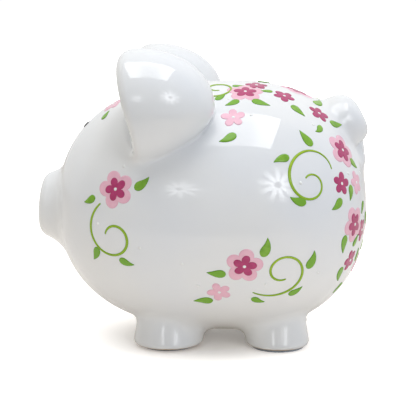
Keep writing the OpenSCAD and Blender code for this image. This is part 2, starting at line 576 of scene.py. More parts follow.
def subtract(piece, cutter):
    modifier = piece.modifiers.new("cut", "BOOLEAN")
    modifier.operation = "DIFFERENCE"
    modifier.solver = "MANIFOLD"
    modifier.object = cutter
    shown = piece.evaluated_get(bpy.context.evaluated_depsgraph_get())
    mesh = bpy.data.meshes.new_from_object(shown)
    piece.modifiers.clear()
    piece.data = mesh
    bpy.data.objects.remove(cutter)


def bands(first, rings, count):
    """Quads from each ring of that many points to the next ring, where the rings follow one another."""
    faces = []
    for low in range(first, first + (rings - 1) * count, count):
        for i in range(count):
            j = (i + 1) % count
            faces.append((low + i, low + j, low + count + j, low + count + i))
    return faces


def fan(tip, first, count):
    """Triangles from a point to a ring."""
    return [(tip, first + i, first + (i + 1) % count) for i in range(count)]


def flipped(faces):
    """The same faces seen from their other side. Each still starts at the same point."""
    return [face[:1] + face[:0:-1] for face in faces]


def loft(name, rings):
    """A closed mesh through rings of equally many points, from its lowest ring up."""
    count = len(rings[0])
    points = np.vstack(rings)
    faces = bands(0, len(rings), count)
    faces.append(tuple(range(count))[::-1])
    faces.append(tuple(range(len(points) - count, len(points))))
    return lay_on(name, points, faces)


# ---------------------------------------------------------------- holes in the body

SLOT_LONG, SLOT_WIDE = 40.0, 5.0
SLOT_X = 22.0
SLOT_LIP = 1.3
SLOT_DEEP = 12.0
WELL_R = 20.0
WELL_LIP = 1.6
WELL_EDGE = 0.8
BORE_R = 15.0
SEAT_Z = 11.0
BOSS_R, BOSS_TOP = 24.0, 17.0
BOSS_SOFT = 3.0
CAVITY_VOXEL = 3.0
LIP_ANGLES = np.radians(np.arange(20, 91, 10))
LIP_OUTSIDE = 1.5


def egg_height(x, y):
    """How far the egg's skin is above or below its axis over a place in the plan."""
    length, bow, roundness = egg_shape(x)
    r = EGG_R * (1 - (np.abs(x - WIDEST_X) / length) ** bow) ** (1 / roundness)
    return np.sqrt(np.maximum(r * r - y * y, 1.0))


def lip_rings(outline, radius, side):
    """Rings of a hole's softly rounded mouth, from outside the skin in. Side is 1 on top and -1 below."""
    rings = []
    steps = [(radius * (1 - math.sin(a)), radius * (1 - math.cos(a))) for a in LIP_ANGLES]
    for grow, depth in [(steps[0][0], -LIP_OUTSIDE)] + steps:
        x, y = outline(grow)
        z = AXIS_Z + side * (egg_height(x, y) - depth)
        rings.append(np.stack([x, y, z], 1))
    return rings


def slot_outline(grow):
    turns = np.radians(np.arange(-90, 91, 10))
    r = SLOT_WIDE / 2 + grow
    reach = (SLOT_LONG - SLOT_WIDE) / 2
    straight = np.linspace(reach, -reach, 24)[1:-1]
    level = np.full(len(straight), r)
    x = np.concatenate([reach + r * np.cos(turns), straight, -reach - r * np.cos(turns), -straight])
    y = np.concatenate([r * np.sin(turns), level, -r * np.sin(turns), -level])
    return SLOT_X + x, y


def full_turn(count):
    return np.linspace(0, 2 * math.pi, count, endpoint=False)


def circle(radius, count=144):
    turns = full_turn(count)
    return WELL_X + radius * np.cos(turns), radius * np.sin(turns)


def level_ring(outline, z):
    x, y = outline
    return np.stack([x, y, np.full(len(x), z)], 1)


def slot_cutter():
    rings = lip_rings(slot_outline, SLOT_LIP, 1)
    rings.append(level_ring(slot_outline(0), AXIS_Z + EGG_R - SLOT_DEEP))
    return loft("slot_cutter", rings[::-1])


def well_cutter():
    rings = lip_rings(lambda grow: circle(WELL_R + grow), WELL_LIP, -1)
    edge, corner = WELL_EDGE, WELL_EDGE / 4
    profile = [(WELL_R, SEAT_Z - edge), (WELL_R - corner, SEAT_Z - corner), (WELL_R - edge, SEAT_Z)]
    profile += [(BORE_R + edge, SEAT_Z), (BORE_R + corner, SEAT_Z + corner), (BORE_R, SEAT_Z + edge)]
    profile += [(BORE_R, BOSS_TOP + 8)]
    rings += [level_ring(circle(r), z) for r, z in profile]
    return loft("well_cutter", rings)


def cavity(p):
    """The hollow inside, with the boss that carries the stopper's hole left standing."""
    boss = np.maximum(np.hypot(p[:, 0] - WELL_X, p[:, 1]) - BOSS_R, p[:, 2] - BOSS_TOP)
    return smooth_max(egg(p, -WALL), -boss, BOSS_SOFT)


def cavity_cutter():
    room = 2 * CAVITY_VOXEL
    points, quads = surface_of(cavity, BODY_LO - room, BODY_HI + room, CAVITY_VOXEL)
    return lay_on("cavity_cutter", onto(cavity, points, 2), [tuple(q) for q in quads.tolist()])


# ---------------------------------------------------------------- rubber stopper and felt pads

def lathe(name, profile, centre, count=128):
    """A turned solid. The profile runs from the axis to the axis, as radius and height."""
    turns = full_turn(count)
    x, y = centre[0], centre[1]
    rings = [level_ring((x + r * np.cos(turns), y + r * np.sin(turns)), z) for r, z in profile[1:-1]]
    points = np.vstack([[x, y, profile[0][1]], *rings, [x, y, profile[-1][1]]])
    last = len(points) - 1
    faces = flipped(fan(0, 1, count)) + bands(1, len(rings), count) + fan(last, last - count, count)
    return lay_on(name, points, faces)


def arc(centre_r, centre_z, radius, start, end, steps=6):
    turns = np.radians(np.linspace(start, end, steps))
    return [(centre_r + radius * math.cos(t), centre_z + radius * math.sin(t)) for t in turns]


FLANGE_T = 2.6
NECK_PLAY = 0.08
NECK_WALL = 3.0
FINGER_R, FINGER_DEEP = 11.4, 1.6
RIB_HEIGHTS = (4.0, 7.0)
RIB_R = 0.9


def add_stopper():
    """A flange with a finger well under it, and a hollow neck with two ribs."""
    low, high = STOPPER_LO[2], STOPPER_HI[2]
    flange_r = (STOPPER_HI[0] - STOPPER_LO[0]) / 2
    neck_r = BORE_R - NECK_PLAY
    hollow_r = neck_r - NECK_WALL
    top = low + FLANGE_T
    deep = low + FINGER_DEEP
    profile = [(0, deep), (FINGER_R - 1.4, deep)] + arc(FINGER_R - 0.7, deep - 0.7, 0.7, 90, 0, 4)[:-1]
    profile += [(FINGER_R, low + 0.7)] + arc(FINGER_R + 0.7, low + 0.6, 0.6, 180, 270, 5)
    profile += arc(flange_r - 1.1, low + 1.1, 1.1, 270, 360)
    profile += arc(flange_r - 0.5, top - 0.5, 0.5, 0, 90, 4)
    profile += [(neck_r + RIB_R, top)] + arc(neck_r + RIB_R, top + RIB_R, RIB_R, 270, 180, 4)[1:]
    for rib in RIB_HEIGHTS:
        profile += arc(neck_r - RIB_R, top + rib, RIB_R, -70, 70, 7)
    profile += arc(neck_r - 1.4, high - 1.4, 1.4, 0, 90, 5)
    profile += arc(hollow_r + 0.6, high - 0.6, 0.6, 90, 180, 4)
    profile += [(hollow_r, top + 2.6)] + arc(hollow_r - 1.0, top + 2.6, 1.0, 0, -90, 4)
    profile += [(0, top + 1.6)]
    return lathe("belly_stopper_detailed", profile, (WELL_X, 0))


GRIP_LONG, GRIP_WIDE, GRIP_TALL = 19.6, 4.0, 1.9
GRIP_ROUND = 0.7


def add_grip():
    """The bar across the stopper's finger well, with rounded edges."""
    grip = bmesh.new()
    bmesh.ops.create_cube(grip, size=1)
    size = Vector((GRIP_LONG, GRIP_WIDE, GRIP_TALL)) * MM
    bmesh.ops.scale(grip, vec=size, verts=grip.verts)
    bmesh.ops.bevel(grip, geom=grip.edges, offset=GRIP_ROUND * MM, segments=4, affect="EDGES", profile=0.5)
    middle = Vector((WELL_X, 0, STOPPER_LO[2] + GRIP_TALL / 2)) * MM
    bmesh.ops.translate(grip, vec=middle, verts=grip.verts)
    mesh = bpy.data.meshes.new("stopper_grip")
    grip.to_mesh(mesh)
    grip.free()
    return add_object("stopper_grip", mesh)


PAD_ROUND = 0.5
FELT_SHARP = math.radians(50)
PAD_RAGGED, PAD_FUZZ = 0.22, 0.08


def add_pad(node):
    """A punched felt disc with a soft, slightly ragged rim."""
    low, high = box_mm(node)
    centre = (low + high) / 2
    radius = (high[0] - low[0]) / 2
    profile = [(0, low[2] + 0.01), (radius / 2, low[2])]
    profile += arc(radius - PAD_ROUND, low[2] + PAD_ROUND, PAD_ROUND, 270, 350, 4)
    profile += arc(radius - PAD_ROUND, high[2] - PAD_ROUND, PAD_ROUND, 10, 90, 4)
    profile += [(radius / 2, high[2]), (0, high[2])]
    pad = lathe(node + "_felt", profile, centre)
    rng = np.random.default_rng(sum(map(ord, node)))
    fuzz = {}
    for vertex in pad.data.vertices:
        away = Vector((vertex.co.x - centre[0] * MM, vertex.co.y - centre[1] * MM, 0))
        if away.length > (radius - 1) * MM:
            turn = round(math.atan2(away.y, away.x), 3)
            shift = fuzz.setdefault(turn, rng.uniform(-PAD_RAGGED, 0.0))
            vertex.co += away.normalized() * (shift + rng.uniform(-PAD_FUZZ, 0.0)) * MM
    return pad


# ---------------------------------------------------------------- raised enamel
# A motif is drawn flat, at a spot on the egg given as longitude and latitude seen from MIDDLE.
# Longitude runs from the pig's left side (0) to the tail (90); latitude runs up from the axis.
# Turns are anticlockwise from the direction of growing longitude. Lengths are in mm.

MIDDLE = np.array([10.0, 0.0, AXIS_Z])
SUNK = 0.12
ENAMEL_SHARP = math.radians(60)


def spot(lon, lat, side):
    """A motif's origin on the egg, and its two directions: along the longitude and up."""
    lon, lat = math.radians(lon), math.radians(lat)
    ray = np.array([math.sin(lon) * math.cos(lat), -math.cos(lon) * math.cos(lat), math.sin(lat)])
    p = (MIDDLE + 90 * ray)[None]
    for _ in range(6):
        p = p - ray * (egg(p) / (gradient(egg, p) @ ray))[:, None]
    out = unit(gradient(egg, p))[0]
    east = np.array([math.cos(lon), math.sin(lon), 0])
    east = east - out * (east @ out)
    east = east / np.linalg.norm(east)
    north = np.cross(out, east)
    mirror = np.array([1, -side, 1])
    return p[0] * mirror, east * mirror, north * mirror


class Relief:
    """The raised enamel of one colour, gathered over all its motifs and laid on the skin at the end."""

    def __init__(self):
        self.points = []
        self.heights = []
        self.rims = []
        self.faces = []
        self.count = 0

    def add(self, where, flat, height, rim, faces):
        """Flat points with their heights above the glaze.

        Rim tells how near each is to the motif's edge, from 0 to 1.
        """
        origin, east, north = where
        placed = origin + flat[:, :1] * east + flat[:, 1:] * north
        flip = np.cross(east, north) @ (origin - MIDDLE) < 0
        self.points.append(placed)
        self.heights.append(height)
        self.rims.append(rim)
        for face in faces:
            moved = tuple(self.count + i for i in face)
            self.faces.append(moved[::-1] if flip else moved)
        self.count += len(flat)

    def build(self, name):
        points = onto(skin, np.vstack(self.points), 4)
        out = unit(gradient(skin, points))
        piece = lay_on(name, points + out * np.concatenate(self.heights)[:, None], self.faces)
        soften(piece, ENAMEL_SHARP)
        rim = piece.data.attributes.new("rim", "FLOAT", "POINT")
        rim.data.foreach_set("value", np.concatenate(self.rims).astype(np.float32))
        return piece


def pillow(inset, edge):
    """Height share of a soft-edged layer at a distance in from its edge."""
    t = np.clip(inset / edge, 0, 1)
    return np.sqrt(1 - (1 - t) ** 2)


def drop_faces(rings, count):
    """Faces of a closed drop: its middle point on top, then the rings, then a point underneath."""
    tip = 1 + rings * count
    return fan(0, 1, count) + flipped(bands(1, rings, count) + fan(tip, tip - count, count))


PETALS = 5
# How far in from their rims petals and strokes rise, and how far in the enamel is darker at its edge,
# partly pooled enamel and partly painted shade
PETAL_EDGE, PETAL_POOL_AND_SHADE = 0.75, 1.3
STROKE_EDGE, STROKE_POOL_AND_SHADE = 0.8, 1.1
RINGS = np.array([0.2, 0.45, 0.62, 0.75, 0.85, 0.92, 0.97, 1.0])


def add_flower(relief, where, turn, radius, valley, base, height, rng):
    """Five round petals, each a little different, as rings about the middle."""
    count = 120
    angle = full_turn(count)
    wave = np.abs(np.cos(PETALS * angle / 2)) ** 0.8
    number = np.round(angle * PETALS / (2 * math.pi)).astype(int) % PETALS
    longer = rng.uniform(0.9, 1.08, PETALS)[number]
    lean = rng.uniform(-0.1, 0.1, PETALS)[number] * wave
    reach = radius * (valley + (1 - valley) * wave * longer)
    heading = angle + lean + math.radians(turn)
    flat = [np.zeros((1, 2))]
    raised = [np.array([1.0])]
    rim = [np.array([0.0])]
    for ring in RINGS:
        flat.append(np.stack([ring * reach * np.cos(heading), ring * reach * np.sin(heading)], 1))
        raised.append(pillow((1 - ring) * reach * 0.8, PETAL_EDGE))
        # Nearness to the edge, which darkens the colour there: pooled enamel and painted shade
        rim.append(np.clip(1 - (1 - ring) * reach / PETAL_POOL_AND_SHADE, 0, 1))
    heights = base - SUNK + (height + SUNK) * np.concatenate(raised)
    # Underneath lie one more ring and a point, sunk in the glaze
    flat += [flat[3], np.zeros((1, 2))]
    heights = np.concatenate([heights, np.full(count + 1, base - 2 * SUNK)])
    rim.append(np.zeros(count + 1))
    faces = drop_faces(len(RINGS) + 1, count)
    relief.add(where, np.vstack(flat), heights, np.concatenate(rim), faces)


ACROSS = np.array([-1.0, -0.9, -0.72, -0.4, 0.0, 0.4, 0.72, 0.9, 1.0])


def add_stroke(relief, where, line, width, height, base=0.0):
    """A brush stroke along a line of flat points, with half widths, rounded over its whole width."""
    along = unit(np.gradient(line, axis=0))
    left = np.stack([-along[:, 1], along[:, 0]], 1)
    count, wide = len(line), len(ACROSS)
    aside_by = (width[:, None] * left)[:, None, :]
    flat = (line[:, None, :] + ACROSS[None, :, None] * aside_by).reshape(-1, 2)
    inset = (1 - np.abs(ACROSS))[None, :] * width[:, None]
    ends = np.minimum(np.arange(count), np.arange(count)[::-1])[:, None] * 0.6
    inset = np.minimum(inset, ends)
    heights = base - SUNK + (height + SUNK) * pillow(inset, STROKE_EDGE).reshape(-1)
    # Nearness to the edge, which darkens the colour there: pooled enamel and painted shade
    rim = np.clip(1 - inset / STROKE_POOL_AND_SHADE, 0, 1).reshape(-1)
    faces = []
    for i in range(count - 1):
        for k in range(wide - 1):
            here = i * wide + k
            faces.append((here, here + wide, here + wide + 1, here + 1))
    under = count * wide
    flat = np.vstack([flat, line + left * width[:, None] * -0.9, line + left * width[:, None] * 0.9])
    heights = np.concatenate([heights, np.full(2 * count, base - 2 * SUNK)])
    rim = np.concatenate([rim, np.zeros(2 * count)])
    right_low, left_low = under, under + count
    for i in range(count - 1):
        here, ahead = i * wide, (i + 1) * wide
        faces.append((ahead, here, right_low + i, right_low + i + 1))
        faces.append((here + wide - 1, ahead + wide - 1, left_low + i + 1, left_low + i))
        faces.append((right_low + i + 1, right_low + i, left_low + i, left_low + i + 1))
    first, last = 0, (count - 1) * wide
    faces.append((right_low, *range(first, first + wide), left_low))
    faces.append((left_low + count - 1, *range(last + wide - 1, last - 1, -1), right_low + count - 1))
    relief.add(where, flat, heights, rim, faces)


def curl(start, heading, length, turns, count):
    """Points along a stroke that starts at a place and heading, and turns by a cubic in its length."""
    t = (np.arange(count) + 0.5) / count
    angle = np.radians(heading + turns[0] * t + turns[1] * t ** 2 + turns[2] * t ** 3)
    step = length / count
    return np.array(start) + step * np.cumsum(np.stack([np.cos(angle), np.sin(angle)], 1), 0)


def add_leaf(relief, where, turn, length, bend, height):
    """A comma-shaped leaf: a round base that draws out to a thin, bent tip."""
    count = 26
    line = curl((0, 0), turn - bend / 2, length, (bend, 0, 0), count)
    line = line - (line[0] + line[-1]) / 2
    t = np.linspace(0.004, 1, count)
    width = 0.215 * length * np.sin(math.pi * t ** 0.58) ** 1.1 + 0.22 * (1 - (2 * t - 1) ** 8) + 0.03
    add_stroke(relief, where, line, width, height)


def add_dot(relief, where, radius, base, height, stretch=1.0, turn=0.0):
    """A round or oval drop."""
    count = 32
    angle = full_turn(count)
    rings = np.array([0.35, 0.6, 0.8, 0.93, 1.0])
    cos, sin = math.cos(math.radians(turn)), math.sin(math.radians(turn))
    flat, heights = [np.zeros((1, 2))], [base + height]
    for ring in rings:
        x, y = ring * radius * stretch * np.cos(angle), ring * radius * np.sin(angle)
        flat.append(np.stack([x * cos - y * sin, x * sin + y * cos], 1))
        heights += [base - SUNK + (height + SUNK) * math.sqrt(1 - ring ** 2)] * count
    flat.append(np.zeros((1, 2)))
    heights.append(base - 2 * SUNK)
    faces = drop_faces(len(rings), count)
    relief.add(where, np.vstack(flat), np.array(heights), np.zeros(len(heights)), faces)


# Where the motifs of the pig's left side lie: longitude, latitude, turn
OUTLINED_FLOWERS = [
    (-41, 12, 114), (13.5, -18, 84), (31, 66, 62), (64, 25, 55), (63, -3, 48),
]
ROSE_FLOWERS = [(57, 70, 40), (58, 56, 4), (67, 42, 38), (56, 13, 72), (72, -6.5, 45), (66, -17.5, 44)]
PINK_FLOWERS = [(11.5, 49, 87), (2.5, -32.5, 114), (-79, 44, -66), (67, 12, 27), (80, -21, 59)]

# Leaves: longitude, latitude, turn towards the tip, length, bend
LEAVES = [
    (-31, 16, 44, 12.5, 50), (-52, 7, -150, 10.5, -45), (-51, -13, -125, 11.5, -35),
    (-37.5, -16, -28, 11, 45), (-70, 39, 127, 9.5, -50), (1, -22, 177, 12.5, -20),
    (21, -9, 74, 13.5, 60), (41, -14.5, 77, 13.5, 55),
    (39, -29, 44, 11, 50), (23, -35.5, -20, 10, 50), (-6.5, -38.5, 179, 13, 30), (3, 64, 43, 9, 30),
    (12.5, 59, -153, 11, -40), (34, 74, -32, 8, 30), (35, 55.5, -51, 13, 20), (50.5, 62.5, 148, 9, 30),
    (54, 46, -86, 12.5, 15), (81, 47, -2, 14, 45), (73, 35.5, -22, 12.5, 20), (56, 36, -154, 9.5, -90),
    (6.5, 38.5, -152, 12.5, -45), (46, 33, 104, 13.5, -15), (30.5, 25.5, -172, 11.5, 35),
    (34.5, 9.5, 160, 12, -55), (69.5, 19, -45, 10.5, 10), (60.5, 9, -106, 11, -45),
    (51.5, 6, -146, 12, -50), (71.5, 2, -124, 9.5, 20),
    (79, -3, -81, 9, 20), (57.5, -10, -87, 13, 35), (66, -9.5, 51, 9.5, 20), (62, -23, -71, 13, 35),
    (70, -31, -120, 10, 30), (74, -16.5, 107, 10.5, -20),
]
DOTS = [
    (-40, 21), (-31, -10), (-47.5, -1.5), (-8, -29), (24, -26.5), (46.5, -20.5), (55, 38), (36.5, 15.5),
    (23, 49), (-14, -17.5), (62, 16), (74, 15), (73.5, -1), (11, 62),
]

# Curls: longitude, latitude, start, heading, length, and how the heading turns along them
CURLS = [
    (-43.5, -5.5, (-4, 20.5), -144, 84, (212, 28, 164)),
    (30.5, -23, (-16.5, -13), -21, 88.5, (181, 113, 123)),
    (41.5, 18.5, (17, 0), 80, 98, (535, -622, 597)),
    (1, 71, (-10, -8), -20, 56, (190, 110, 105)),
]

# Motifs in the middle of the back and the rump, which have no twin on the other side
MIDDLE_OUTLINED = [(89, 56, 98), (90, -5, 20)]
MIDDLE_LEAVES = [
    (99, 70, -80, 9, 25), (86, -15, -150, 10, 30), (95, 9, 130, 10, -30), (90, -33, -90, 11, 25),
]

EYE = (-84.5, 31.5, 58)
EYE_R, EYE_T, EYE_STRETCH = 2.4, 0.7, 1.3
OUTLINED_R, INNER_R, ROSE_R, PINK_R = 12.0, 7.6, 7.4, 7.7
OUTLINED_VALLEY, VALLEY = 0.66, 0.5
PINK_T, ROSE_T, LEAF_T, VINE_T = 0.3, 0.3, 0.46, 0.46
# A plain flower is thicker by that much, and a layer on another sinks into it
PLAIN_MORE, LAYER_SINK = 0.04, 0.03
DOT_R = 1.05
CENTRE_DOT_T, FREE_DOT_T = 0.3, 0.5
CURL_POINTS = 110
# How the motifs of the pig's right side are turned from those of its left
OUTLINED_DRIFT, ROSE_DRIFT, PINK_DRIFT = 31, 24, 17
LEAF_SWAY = 9
ENAMEL_SEED = 7


def add_enamel():
    rng = np.random.default_rng(ENAMEL_SEED)
    reliefs = {name: Relief() for name in ("pink", "rose", "leaves", "vines", "dots", "eyes")}

    def outlined(where, turn):
        add_flower(reliefs["pink"], where, turn, OUTLINED_R, OUTLINED_VALLEY, 0, PINK_T, rng)
        add_flower(reliefs["rose"], where, turn, INNER_R, VALLEY, PINK_T - LAYER_SINK, ROSE_T, rng)
        add_dot(reliefs["dots"], where, DOT_R, PINK_T + ROSE_T - 2 * LAYER_SINK, CENTRE_DOT_T)

    def plain(colour, where, turn, radius, thick):
        add_flower(reliefs[colour], where, turn, radius, VALLEY, 0, thick, rng)
        add_dot(reliefs["dots"], where, DOT_R, thick - LAYER_SINK, CENTRE_DOT_T)

    for side in (LEFT, RIGHT):
        drift = 0 if side == LEFT else 1
        for lon, lat, turn in OUTLINED_FLOWERS:
            outlined(spot(lon, lat, side), turn + drift * OUTLINED_DRIFT)
        for lon, lat, turn in ROSE_FLOWERS:
            heading = turn + drift * ROSE_DRIFT
            plain("rose", spot(lon, lat, side), heading, ROSE_R, ROSE_T + PLAIN_MORE)
        for lon, lat, turn in PINK_FLOWERS:
            if side == LEFT or lon > -60:
                heading = turn + drift * PINK_DRIFT
                plain("pink", spot(lon, lat, side), heading, PINK_R, PINK_T + PLAIN_MORE)
        for lon, lat, turn, length, bend in LEAVES:
            sway = drift * rng.uniform(-LEAF_SWAY, LEAF_SWAY)
            add_leaf(reliefs["leaves"], spot(lon, lat, side), turn + sway, length, bend, LEAF_T)
        for lon, lat in DOTS:
            add_dot(reliefs["dots"], spot(lon, lat, side), DOT_R, 0, FREE_DOT_T)
        for lon, lat, start, heading, length, turns in CURLS:
            line = curl(start, heading, length, turns, CURL_POINTS)
            t = np.linspace(0, 1, CURL_POINTS)
            width = 0.5 + 0.45 * np.sin(math.pi * t) ** 0.5 + 0.1 * np.sin(9 * t + lon)
            add_stroke(reliefs["vines"], spot(lon, lat, side), line, width, VINE_T)
        lon, lat, tilt = EYE
        add_dot(reliefs["eyes"], spot(lon, lat, side), EYE_R, 0, EYE_T, EYE_STRETCH, tilt)
    for lon, lat, turn in MIDDLE_OUTLINED:
        outlined(spot(lon, lat, LEFT), turn)
    for lon, lat, turn, length, bend in MIDDLE_LEAVES:
        add_leaf(reliefs["leaves"], spot(lon, lat, LEFT), turn, length, bend, LEAF_T)
    return {name: relief.build("enamel_" + name) for name, relief in reliefs.items()}


# ---------------------------------------------------------------- materials

class Graph:
    """Nodes that lead up to one target node. What a method adds gives the socket with its result."""

    def __init__(self, owner, target):
        owner.use_nodes = True
        self.nodes = owner.node_tree.nodes
        self.links = owner.node_tree.links
        self.target = self.nodes[target]

    def add(self, kind):
        return self.nodes.new("ShaderNode" + kind)

    def feed(self, name, value):
        """Links a socket to one of the target's inputs."""
        self.links.new(value, self.target.inputs[name])

    def axes(self, kind, name):
        """X, Y and Z of what a node of that kind gives."""
        split = self.add("SeparateXYZ")
        self.links.new(self.add(kind).outputs[name], split.inputs[0])
        return split.outputs

    def noise(self, scale, detail=2.0, roughness=0.5):
        """Noise over the object's own coordinates, in metres."""
        noise = self.add("TexNoise")
        noise.inputs["Scale"].default_value = scale
        noise.inputs["Detail"].default_value = detail
        noise.inputs["Roughness"].default_value = roughness
        self.links.new(self.add("TexCoord").outputs["Object"], noise.inputs["Vector"])
        return noise.outputs["Fac"]

    def mix(self, share, low, high):
        """A colour between low and high, which are colours or sockets."""
        mix = self.add("Mix")
        mix.data_type = "RGBA"
        self.links.new(share, mix.inputs["Factor"])
        for socket, value in ((mix.inputs[6], low), (mix.inputs[7], high)):
            if isinstance(value, bpy.types.NodeSocket):
                self.links.new(value, socket)
            else:
                socket.default_value = (*value, 1)
        return mix.outputs[2]

    def ranged(self, value, low, high, to_low=0.0, to_high=1.0):
        """The value's smooth step from low to high, brought to another range."""
        ranged = self.add("MapRange")
        ranged.interpolation_type = "SMOOTHSTEP"
        self.links.new(value, ranged.inputs["Value"])
        ends = {"From Min": low, "From Max": high, "To Min": to_low, "To Max": to_high}
        for name, number in ends.items():
            ranged.inputs[name].default_value = number
        return ranged.outputs["Result"]

    def maths(self, operation, *values):
        node = self.add("Math")
        node.operation = operation
        for socket, value in zip(node.inputs, values):
            if isinstance(value, bpy.types.NodeSocket):
                self.links.new(value, socket)
            else:
                socket.default_value = value
        return node.outputs[0]

    def bump(self, height, distance, strength=1.0):
        bump = self.add("Bump")
        bump.inputs["Strength"].default_value = strength
        bump.inputs["Distance"].default_value = distance
        self.links.new(height, bump.inputs["Height"])
        self.feed("Normal", bump.outputs["Normal"])


def new_material(name):
    material = bpy.data.materials.new(name)
    return material, Graph(material, "Principled BSDF")


GLAZE_TONES = ((0.77, 0.785, 0.80), (0.80, 0.805, 0.80))
SPECK = (0.62, 0.6, 0.57)
FOOT_CLAY = (0.52, 0.40, 0.28)
CLAY_TONES = ((0.62, 0.58, 0.52), (0.78, 0.75, 0.7))
RUBBER_TONES = ((0.66, 0.65, 0.6), (0.8, 0.79, 0.75))
FELT_TONES = ((0.20, 0.25, 0.31), (0.30, 0.35, 0.41))
FELT_FIBRE = (0.46, 0.51, 0.57)


def glaze_material():
    """White gloss glaze, thinning to the tan clay at the edge of the foot."""
    material, graph = new_material("glaze_white")
    shader = graph.target
    cloud = graph.noise(14.0, 3.0)
    tone = graph.mix(graph.ranged(cloud, 0.35, 0.65), *GLAZE_TONES)
    speck = graph.noise(900.0)
    speckled = graph.mix(graph.ranged(speck, 0.74, 0.8, 0.0, 0.35), tone, SPECK)
    wobble = graph.noise(160.0)
    edge = graph.maths("MULTIPLY_ADD", wobble, -1.2 * MM, graph.axes("TexCoord", "Object")["Z"])
    foot = PAD_T * MM
    bare = graph.ranged(edge, foot - 0.1 * MM, foot + 0.5 * MM, 1.0, 0.0)
    graph.feed("Base Color", graph.mix(bare, speckled, FOOT_CLAY))
    graph.feed("Roughness", graph.ranged(bare, 0.0, 1.0, 0.035, 0.75))
    shader.inputs["IOR"].default_value = 1.5
    shader.inputs["Coat Weight"].default_value = 0.1
    shader.inputs["Coat Roughness"].default_value = 0.02
    graph.bump(graph.noise(55.0), 0.12 * MM, 0.35)
    return material


def clay_material():
    """Bare fired clay, as inside the bank."""
    material, graph = new_material("bare_clay")
    cloud = graph.noise(40.0, 4.0)
    graph.feed("Base Color", graph.mix(cloud, *CLAY_TONES))
    graph.feed("Roughness", graph.ranged(cloud, 0.3, 0.7, 0.7, 0.9))
    graph.bump(graph.noise(1400.0, 3.0), 0.08 * MM)
    return material


def enamel_material(name, thin, thick, other=None):
    """Gloss enamel with streaks of the brush, a little darker along its edge, where the enamel pools and
    where painted shade stands in for the shading of its rounded rim.
    """
    material, graph = new_material(name)
    shader = graph.target
    streak = graph.noise(260.0, 3.0, 0.6)
    share = graph.ranged(streak, 0.3, 0.7)
    colour = graph.mix(share, thin, tuple(0.5 * (a + b) for a, b in zip(thin, thick)))
    if other:
        patch = graph.noise(22.0, 1.0)
        colour = graph.mix(graph.ranged(patch, 0.42, 0.58), colour, other)
    rim = graph.add("Attribute")
    rim.attribute_name = "rim"
    # Painted shade: the colour darkens towards each motif's edge, partly for pooled enamel and partly to
    # stand in for the shade of its rounded rim
    pooled_and_shaded = graph.ranged(rim.outputs["Fac"], 0.35, 1.0, 0.0, 0.85)
    graph.feed("Base Color", graph.mix(pooled_and_shaded, colour, thick))
    graph.feed("Roughness", graph.ranged(streak, 0.2, 0.8, 0.12, 0.26))
    shader.inputs["IOR"].default_value = 1.4
    shader.inputs["Coat Weight"].default_value = 0.1
    shader.inputs["Coat Roughness"].default_value = 0.04
    graph.bump(streak, 0.05 * MM, 0.6)
    return material


def rubber_material():
    """Off-white moulded rubber, with a fine matt grain and a little dirt."""
    material, graph = new_material("rubber_white")
    cloud = graph.noise(90.0, 3.0)
    graph.feed("Base Color", graph.mix(cloud, *RUBBER_TONES))
    grain = graph.noise(2600.0)
    graph.feed("Roughness", graph.ranged(grain, 0.3, 0.7, 0.42, 0.6))
    graph.bump(grain, 0.04 * MM)
    return material


def felt_material():
    """Pressed grey-blue felt: matted fibres and a soft sheen."""
    material, graph = new_material("felt_grey")
    shader = graph.target
    fibre = graph.noise(1500.0, 6.0, 0.7)
    patch = graph.noise(160.0)
    base = graph.mix(patch, *FELT_TONES)
    graph.feed("Base Color", graph.mix(graph.ranged(fibre, 0.35, 0.7), base, FELT_FIBRE))
    graph.feed("Roughness", graph.ranged(fibre, 0.2, 0.8, 0.85, 1.0))
    shader.inputs["Sheen Weight"].default_value = 0.4
    shader.inputs["Sheen Roughness"].default_value = 0.5
    graph.bump(fibre, 0.35 * MM)
    return material


# ---------------------------------------------------------------- putting the pieces together

def add_skin():
    """The glazed pieces: ears, tail and legs as cut from the skin, and the body with its holes."""
    points, quads = surface_of(skin, GRID_LOW, GRID_HIGH, VOXEL)
    points = onto(skin, points)
    points, faces = split_skin(points, quads)
    glaze = glaze_material()
    clay = clay_material()
    body_faces = faces.pop("body")
    for name, own in faces.items():
        lid = cap(points, open_loops(own))
        piece = lay_on(name + "_glazed", points, own + lid)
        body_faces += [corner[::-1] for corner in lid]
        piece.data.materials.append(glaze)
        polish(piece)
        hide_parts(name)
        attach(piece, "bank")
    body = lay_on("body_glazed", points, body_faces)
    for cutter in (cavity_cutter(), slot_cutter(), well_cutter()):
        subtract(body, cutter)
    body.data.materials.clear()
    body.data.materials.append(glaze)
    body.data.materials.append(clay)
    polish(body)
    # The hollow's faces are bare clay, and so is what lies as deep in the holes
    inside = skin(read(body.data.polygons, "center", 3) / MM) < -0.6 * WALL
    body.data.polygons.foreach_set("material_index", inside.astype(np.int32))
    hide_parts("body")
    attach(body, "bank")


add_skin()

rubber = rubber_material()
stopper = add_stopper()
grip = add_grip()
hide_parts("belly_stopper")
for rubber_piece in (stopper, grip):
    soften(rubber_piece, SHARP)
    rubber_piece.data.materials.append(rubber)
    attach(rubber_piece, "stopper")

felt = felt_material()
for pad_node in ("front_left_pad", "front_right_pad", "rear_left_pad", "rear_right_pad"):
    felt_pad = add_pad(pad_node)
    soften(felt_pad, FELT_SHARP)
    felt_pad.data.materials.append(felt)
    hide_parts(pad_node)
    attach(felt_pad, "bank")
